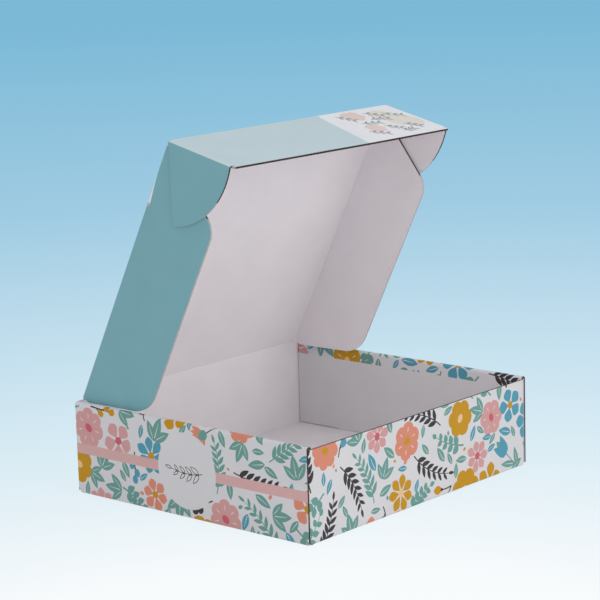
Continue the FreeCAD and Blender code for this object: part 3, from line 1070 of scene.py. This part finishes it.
def lid_prints():
    """A pale belt across the lid with a plain stripe beside it, and a row of flowers and sprigs on it."""
    rng = random.Random(5)
    edge = FLAP_MIDDLE + PAST_LID
    middle = (BELT_LOW + BELT_HIGH) / 2
    prints = [(box_between(-edge, edge, BELT_LOW, BELT_HIGH), "bright"),
              (box_between(-edge, edge, BELT_LOW - STRIPE, BELT_LOW), "band"),
              (box_between(PICTURE_AT_FOLD, edge, BELT_HIGH, LID), "bright")]
    for i in range(BELT_FLOWERS):
        x = FLOWER_SPACING * (i - (BELT_FLOWERS - 1) / 2)
        prints += daisy(rng, x, middle, 0.3, FLOWER_INKS[i % len(FLOWER_INKS)])[1]
        if i < BELT_FLOWERS - 1:
            prints += leafy(rng, x + SPRIG_OFFSET, middle, 0.0, "sage", 12, 2, 7.0, 3.4, 0.8)[1]
    return prints


def sketched_sprigs():
    """Pale washes with thin grey sprigs over them, at the right of the tuck flap."""
    ground = [(PICTURE_AT_FOLD, -2.0), (PICTURE_AT_EDGE, TUCK), (EAR_MIDDLE, TUCK), (EAR_MIDDLE, -2.0)]
    prints = [(ground, "bright"),
              (scallop(66.0, 12.0, 11.0, 6, 0.25, 0.4), "wash_peach"),
              (scallop(60.0, 40.0, 9.0, 7, 0.2, 0.1), "wash_peach"),
              (oval(100.0, 34.0, 17.0, 13.0, 0.5, 24), "wash_ochre"),
              (oval(91.0, 17.0, 13.0, 8.0, -0.4, 24), "wash_ochre")]
    rng = random.Random(11)
    for x, y, angle in ((50, 8, 0.9), (58, 28, 0.2), (47, 44, 0.5), (72, 38, 0.7), (80, 10, 0.4),
                        (78, 52, 0.1), (93, 40, 0.5), (98, 14, 1.0), (74, 24, -0.2)):
        points = stalk(x, y, rng.uniform(13, 19), angle, rng.uniform(-0.8, 0.8), 6)
        prints.append((ribbon(points, 1.2, 0.9), "wash_grey"))
        for at in points[1::2]:
            for spread in (-1, 1):
                prints.append((leaf(at[0], at[1], 6.5, 2.0, at[2] + spread * 0.7, 0.85, 5), "wash_grey"))
    return prints


class MAILER_OT_lid_panel(bpy.types.Operator):
    """Cut and print the lid's flat panel"""
    bl_idname = "mailer.lid_panel"
    bl_label = "Lid panel"

    def execute(self, context):
        start = HINGE_CREASE.tangent + LEAD
        stop = LID - TUCK_CREASE.tangent - LEAD
        half = lid_half_width()
        lift = context.scene.mailer_board.bow / MM

        def place(x, y, depth):
            spot = HINGE_CREASE.flat(x, y, depth)
            return spot - LID_IN * bulge((x / half + 1) / 2, (y - start) / (stop - start), lift)
        # The lid's ground is the teal made paler with painted sheen.
        piece = cut_board("lid_board", box_between(-half, half, start, stop), place, "pale_teal",
                          prints=lid_prints(), hidden=lambda x, y: True)
        finish_piece(piece, "lid", "lid_panel")
        return {"FINISHED"}


class MAILER_OT_tuck_flap(bpy.types.Operator):
    """Cut and print the tuck flap"""
    bl_idname = "mailer.tuck_flap"
    bl_label = "Tuck flap"

    def execute(self, context):
        start = TUCK_CREASE.tangent + LEAD
        half = tuck_half_width()
        shoulder = EAR_REACH + TUCK_SHOULDER
        side = EAR_MIDDLE - HALF_BOARD - EAR_SLIT
        outline = mirrored([(half, start), (half, shoulder), (side, shoulder), (side - 1, TUCK)])

        def place(x, y, depth):
            spot = TUCK_CREASE.flat(x, y, depth)
            ripple = RIPPLE * (y / TUCK) ** 2 * math.sin(x / RIPPLE_LENGTH) * (1 - (x / half) ** 2)
            return spot + TUCK_IN * ripple
        # The tuck flap's ground is the teal made paler with painted sheen.
        piece = cut_board("tuck_board", outline, place, "pale_teal", prints=sketched_sprigs(),
                          hidden=lambda x, y: y < start + 1)
        finish_piece(piece, "tuck", "tuck_flap")
        return {"FINISHED"}


def arc(centre, radius, start, stop, count=10):
    return [(centre[0] + radius * math.cos(start + (stop - start) * i / count),
             centre[1] + radius * math.sin(start + (stop - start) * i / count)) for i in range(count + 1)]


def side_flap_outline(foot):
    """A side flap on its flat: along the lid from its hinge, and out from the fold."""
    up = math.pi / 2
    rise = foot - HALF_BOARD
    back = FLAP_BACK + (FLAP - HALF_BOARD) / math.tan(FLAP_BACK_TAPER)
    back += FLAP_BACK_ROUND * math.tan(FLAP_BACK_TAPER / 2)
    front = FLAP_FRONT - (FLAP - HALF_BOARD) / math.tan(FLAP_FRONT_TAPER)
    front -= FLAP_FRONT_ROUND * math.tan(FLAP_FRONT_TAPER / 2)
    return ([(FLAP_FRONT - rise / math.tan(FLAP_FRONT_TAPER), foot), (FLAP_BACK, foot),
             (FLAP_BACK, FLAP_HEEL)]
            + arc((back, FLAP - FLAP_BACK_ROUND), FLAP_BACK_ROUND, up + FLAP_BACK_TAPER, up)
            + arc((front, FLAP - FLAP_FRONT_ROUND), FLAP_FRONT_ROUND, up, up - FLAP_FRONT_TAPER))


class MAILER_OT_side_flaps(bpy.types.Operator):
    """Cut the lid's two side flaps"""
    bl_idname = "mailer.side_flaps"
    bl_label = "Side flaps"

    def execute(self, context):
        for side, name in ((-1, "left"), (1, "right")):
            crease = FLAP_CREASES[side]
            piece = cut_board(f"{name}_flap_board", side_flap_outline(crease.tangent + LEAD), crease.flat,
                              "teal", sideways=True)
            finish_piece(piece, f"{name}_flap", f"{name}_side_flap")
        return {"FINISHED"}


def ear_outline(foot):
    """An ear on its flat: along the tuck flap from the front fold, and out from the ear's fold."""
    tip_angle = math.asin(foot / EAR_REACH)
    tip = math.cos(EAR_SECTOR) * EAR_REACH, math.sin(EAR_SECTOR) * EAR_REACH
    share = foot / tip[1]
    root = EAR_START + (tip[0] - EAR_START) * share, foot
    return arc((0.0, 0.0), EAR_REACH, tip_angle, EAR_SECTOR, 26) + [root]


class MAILER_OT_ears(bpy.types.Operator):
    """Cut the two ears of the tuck flap"""
    bl_idname = "mailer.ears"
    bl_label = "Ears"

    def execute(self, context):
        for side, name in ((-1, "left"), (1, "right")):
            crease = EAR_CREASES[side]
            piece = cut_board(f"{name}_ear_board", ear_outline(crease.tangent + LEAD), crease.flat, "teal",
                              sideways=True)
            finish_piece(piece, f"{name}_ear", f"{name}_ear")
        return {"FINISHED"}


def crease_strip(name, crease, outline, ground, prints=(), sideways=False, hidden=None):
    """The bent strip of board over a fold."""
    low, high = (pick(x for x, y in outline) for pick in (min, max))
    runs = [crease.run * i / BEND_STEPS for i in range(BEND_STEPS + 1)]
    runs += [-step for step in RIDGE_STEPS] + [crease.run + step for step in RIDGE_STEPS]
    lines = [[(low - 1, run), (high + 1, run)] for run in runs]
    piece = cut_board(name, outline, crease.bent, ground, prints=prints, lines=lines,
                      hidden=hidden, sideways=sideways)
    way = (crease.heading + crease.next_heading).normalized()
    ends = [[crease.bent(low, run, depth).dot(way) for depth in (0.0, BOARD)] for run in (0.0, crease.run)]
    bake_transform(piece)


def reach_run(crease, reach):
    """The way over a fold to a line of the second panel, reach from where the middle planes meet."""
    return crease.run + reach - crease.tangent


def hinge_outline():
    foot = TOP - (HINGE.z - HINGE_CREASE.tangent)
    corner = reach_run(HINGE_CREASE, FLAP_BACK)
    half = lid_half_width()
    return mirrored([(LID_SIDE, foot), (LID_SIDE, corner), (half, corner), (half, HINGE_CREASE.run + LEAD)])


def tuck_fold_outline():
    half = lid_half_width()
    fold = LID - TUCK_CREASE.tangent
    lid_end = max(FLAP_FRONT - fold, -LEAD + 0.2)
    corner = reach_run(TUCK_CREASE, EAR_START)
    tuck_half = tuck_half_width()
    return mirrored([(half, -LEAD), (half, lid_end), (LID_SIDE, lid_end), (LID_SIDE, corner),
                     (tuck_half, corner), (tuck_half, TUCK_CREASE.run + LEAD)])


def flap_fold_outline(crease):
    """A side flap's fold, which narrows with the flap beyond the bend."""
    rise = crease.tangent + LEAD - HALF_BOARD
    end = crease.run + LEAD
    return [(FLAP_BACK, -LEAD), (FLAP_FRONT, -LEAD), (FLAP_FRONT, crease.run),
            (FLAP_FRONT - rise / math.tan(FLAP_FRONT_TAPER), end), (FLAP_BACK, end)]


def ear_fold_outline(crease):
    """An ear's fold, whose end follows the ear's round."""
    reach = crease.tangent + LEAD
    tip = math.sqrt(EAR_REACH ** 2 - reach ** 2)
    return [(EAR_START, -LEAD), (EAR_REACH, -LEAD), (EAR_REACH, crease.run), (tip, crease.run + LEAD),
            (EAR_START + reach / math.tan(EAR_SECTOR), crease.run + LEAD), (EAR_START, crease.run)]


def lead_print(crease, outline, share, ground):
    """The first panel's colour on a fold, up to a share of the way over it."""
    low, high = (pick(x for x, y in outline) for pick in (min, max))
    run = share * crease.run
    return (box_between(low - 1, high + 1, -LEAD - 1, run), ground)


def belt_on_fold(side):
    """The lid's belt and stripe where they run over a side fold, cut a little aslant on the left."""
    run = FLAP_CREASES[side].run
    near, far = (run + 1.2, 0.45 * run) if side < 0 else (0.3 * run, 0.3 * run)
    before = -LEAD - 1
    prints = [([(BELT_LOW, before), (BELT_HIGH, before), (BELT_HIGH, 0.3 * run), (BELT_HIGH - 8, far),
                (BELT_LOW, near)], "bright"),
              ([(BELT_LOW - STRIPE, before), (BELT_LOW, before), (BELT_LOW + 1.5, near),
                (BELT_LOW - STRIPE, 0.4 * run)], "band")]
    if side > 0:
        prints.append((box_between(BELT_HIGH, LID, before, 0.3 * run), "bright"))
    return prints


class MAILER_OT_creases(bpy.types.Operator):
    """Bend the strips over the six folds"""
    bl_idname = "mailer.creases"
    bl_label = "Creases"

    def execute(self, context):
        def everywhere(x, y):
            return True

        crease_strip("hinge_crease", HINGE_CREASE, hinge_outline(), "pale_teal",
                     hidden=everywhere)
        picture = box_between(PICTURE_AT_FOLD, EAR_MIDDLE, -LEAD - 1, TUCK_CREASE.run + LEAD + 1)
        crease_strip("tuck_crease", TUCK_CREASE, tuck_fold_outline(), "pale_teal",
                     prints=[(picture, "bright")], hidden=everywhere)
        for side, name in ((-1, "left"), (1, "right")):
            fold = FLAP_CREASES[side]
            outline = flap_fold_outline(fold)
            prints = [lead_print(fold, outline, 0.3, "pale_teal")] + belt_on_fold(side)
            crease_strip(f"{name}_flap_crease", fold, outline, "teal",
                         prints=prints, sideways=True, hidden=lambda x, y: x > FLAP_FRONT - 0.1)
            fold = EAR_CREASES[side]
            outline = ear_fold_outline(fold)
            ground = "bright" if side > 0 else "pale_teal"
            crease_strip(f"{name}_ear_crease", fold, outline, "teal",
                         prints=[lead_print(fold, outline, 0.55, ground)], sideways=True)
        return {"FINISHED"}


# Floor, lamps and camera.

CAMERA_PLACE = (-1.21132, -1.05969, 0.45896)
CAMERA_AZIMUTH, CAMERA_ELEVATION, CAMERA_ROLL = -48.812, 11.345, -1.609

# The floor's colours are set at these distances from a spot on it, in metres.
FLOOR_CENTRE = (-0.376, -0.329, 0.0)
FLOOR_FADE = (0.28, 0.68, 1.8, 5.2)
FADE_LENGTH = 1.2


# Each lamp's place, its width and height, and the value that holds its power.
LAMPS = (("front_lamp", (0.3, -2.2, 0.7), (2.5, 1.6), "key_power"),
         ("top_lamp", (0, -0.5, 2.3), (2.0, 2.0), "top_power"),
         ("side_lamp", (-2.2, -0.3, 0.8), (1.6, 1.6), "side_power"))
LAMP_AIM = (0, 0, 0.1)
SKY_TINT = (0.97, 0.97, 1.0, 1)

FLOOR_RADIUS, FLOOR_CORNERS = 14.0, 96
FLOOR_LIT = ink(244, 244, 246)


def add_lamp(name, place, size, power):
    light = bpy.data.lights.new(name, "AREA")
    light.shape = "RECTANGLE"
    light.size, light.size_y = size
    light.energy = power
    lamp = bpy.data.objects.new(name, light)
    bpy.context.scene.collection.objects.link(lamp)
    lamp.location = place
    lamp.rotation_euler = (Vector(LAMP_AIM) - Vector(place)).to_track_quat("-Z", "Y").to_euler()


def seen_directly(nodes, links):
    """One for rays that show the backdrop itself, nothing for rays that light the box."""
    path = nodes.new("ShaderNodeLightPath")
    seen = path.outputs["Is Camera Ray"]
    for other in ("Is Glossy Ray", "Is Transmission Ray"):
        most = nodes.new("ShaderNodeMath")
        most.operation = "MAXIMUM"
        links.new(seen, most.inputs[0])
        links.new(path.outputs[other], most.inputs[1])
        seen = most.outputs["Value"]
    return seen


def add_floor(stage):
    """A wide floor that turns from white to sky blue with distance, and keeps a faint shadow of the box."""
    mesh = bpy.data.meshes.new("floor")
    rim = [(x, y, 0) for x, y in oval(0.0, 0.0, FLOOR_RADIUS, FLOOR_RADIUS, 0.0, FLOOR_CORNERS)]
    mesh.from_pydata(rim, [], [list(range(FLOOR_CORNERS))])
    floor = bpy.data.objects.new("floor", mesh)
    bpy.context.scene.collection.objects.link(floor)
    material = bpy.data.materials.new("floor_finish")
    material.use_nodes = True
    nodes, links = material.node_tree.nodes, material.node_tree.links
    shader = nodes["Principled BSDF"]
    shader.inputs["Base Color"].default_value = (*FLOOR_LIT, 1)
    shader.inputs["Roughness"].default_value = 0.9
    shader.inputs["Specular IOR Level"].default_value = 0.1

    place = nodes.new("ShaderNodeNewGeometry")
    away = nodes.new("ShaderNodeVectorMath")
    away.operation = "DISTANCE"
    away.inputs[1].default_value = FLOOR_CENTRE
    links.new(place.outputs["Position"], away.inputs[0])
    beyond = nodes.new("ShaderNodeMath")
    beyond.inputs[1].default_value = FADE_LENGTH
    links.new(away.outputs["Value"], beyond.inputs[0])
    fade = nodes.new("ShaderNodeMath")
    fade.operation = "DIVIDE"
    links.new(away.outputs["Value"], fade.inputs[0])
    links.new(beyond.outputs["Value"], fade.inputs[1])
    ramp = nodes.new("ShaderNodeValToRGB")
    stops = ramp.color_ramp.elements
    while len(stops) < len(FLOOR_FADE):
        stops.new(0.5)
    tones = (stage.floor_near, stage.floor_pale, stage.floor_blue, stage.floor_far)
    for stop, distance, tone in zip(stops, FLOOR_FADE, tones):
        stop.position = distance / (distance + FADE_LENGTH)
        stop.color = (*tone, 1)
    links.new(fade.outputs["Value"], ramp.inputs["Fac"])

    plain = nodes.new("ShaderNodeEmission")
    links.new(ramp.outputs["Color"], plain.inputs["Color"])
    share = nodes.new("ShaderNodeMath")
    share.operation = "MULTIPLY"
    share.inputs[1].default_value = stage.backdrop
    links.new(seen_directly(nodes, links), share.inputs[0])
    mix = nodes.new("ShaderNodeMixShader")
    links.new(share.outputs["Value"], mix.inputs["Fac"])
    links.new(shader.outputs["BSDF"], mix.inputs[1])
    links.new(plain.outputs["Emission"], mix.inputs[2])
    links.new(mix.outputs["Shader"], nodes["Material Output"].inputs["Surface"])
    mesh.materials.append(material)


def add_sky(stage):
    """Even light all round, which shows as the far floor's blue."""
    world = bpy.data.worlds.new("even_sky")
    bpy.context.scene.world = world
    world.use_nodes = True
    nodes, links = world.node_tree.nodes, world.node_tree.links
    light = nodes["Background"]
    light.inputs["Color"].default_value = SKY_TINT
    light.inputs["Strength"].default_value = stage.sky
    shown = nodes.new("ShaderNodeBackground")
    shown.inputs["Color"].default_value = (*stage.floor_far, 1)
    mix = nodes.new("ShaderNodeMixShader")
    links.new(seen_directly(nodes, links), mix.inputs["Fac"])
    links.new(light.outputs["Background"], mix.inputs[1])
    links.new(shown.outputs["Background"], mix.inputs[2])
    links.new(mix.outputs["Shader"], nodes["World Output"].inputs["Surface"])


def add_camera(stage):
    azimuth, elevation, roll = (math.radians(value) for value in
                                (CAMERA_AZIMUTH, CAMERA_ELEVATION, CAMERA_ROLL))
    ahead = Vector((-math.sin(azimuth) * math.cos(elevation), math.cos(azimuth) * math.cos(elevation),
                    -math.sin(elevation)))
    level = ahead.cross(UP).normalized()
    upright = level.cross(ahead)
    right = level * math.cos(roll) + upright * math.sin(roll)
    up = upright * math.cos(roll) - level * math.sin(roll)
    data = bpy.data.cameras.new("camera")
    data.lens = stage.lens
    data.sensor_width = 36.0
    data.clip_end = 60.0
    camera = bpy.data.objects.new("camera", data)
    bpy.context.scene.collection.objects.link(camera)
    turn = Matrix((right, up, -ahead)).transposed().to_4x4()
    camera.matrix_world = Matrix.Translation(CAMERA_PLACE) @ turn
    bpy.context.scene.camera = camera


class MAILER_OT_stage(bpy.types.Operator):
    """Add the floor, the lamps and the camera"""
    bl_idname = "mailer.stage"
    bl_label = "Stage"

    def execute(self, context):
        stage = context.scene.mailer_stage
        context.scene.view_settings.view_transform = "Standard"
        add_floor(stage)
        add_sky(stage)
        for name, place, size, power in LAMPS:
            add_lamp(name, place, size, getattr(stage, power))
        add_camera(stage)
        return {"FINISHED"}


OPERATORS = (MAILER_OT_stage, MAILER_OT_tray, MAILER_OT_lid_panel, MAILER_OT_tuck_flap,
             MAILER_OT_side_flaps, MAILER_OT_ears, MAILER_OT_creases)


class MAILER_PT_panel(bpy.types.Panel):
    """Buttons for the pieces, and their sizes and colours"""
    bl_idname = "MAILER_PT_panel"
    bl_label = "Mailer Box"
    bl_space_type = "VIEW_3D"
    bl_region_type = "UI"
    bl_category = "Mailer Box"

    def draw(self, context):
        column = self.layout.column()
        for operator in OPERATORS:
            column.operator(operator.bl_idname)
        for group in (context.scene.mailer_board, context.scene.mailer_inks, context.scene.mailer_stage):
            for name in group.__annotations__:
                column.prop(group, name)


GROUPS = (("mailer_board", MailerBoard), ("mailer_inks", MailerInks), ("mailer_stage", MailerStage))


def register():
    for name, group in GROUPS:
        bpy.utils.register_class(group)
        setattr(bpy.types.Scene, name, PointerProperty(type=group))
    for operator in OPERATORS:
        bpy.utils.register_class(operator)
    bpy.utils.register_class(MAILER_PT_panel)


def unregister():
    bpy.utils.unregister_class(MAILER_PT_panel)
    for operator in reversed(OPERATORS):
        bpy.utils.unregister_class(operator)
    for name, group in reversed(GROUPS):
        delattr(bpy.types.Scene, name)
        bpy.utils.unregister_class(group)


def main():
    register()
    for operator in OPERATORS:
        group, name = operator.bl_idname.split(".")
        getattr(getattr(bpy.ops, group), name)()


if __name__ == "__main__":
    main()
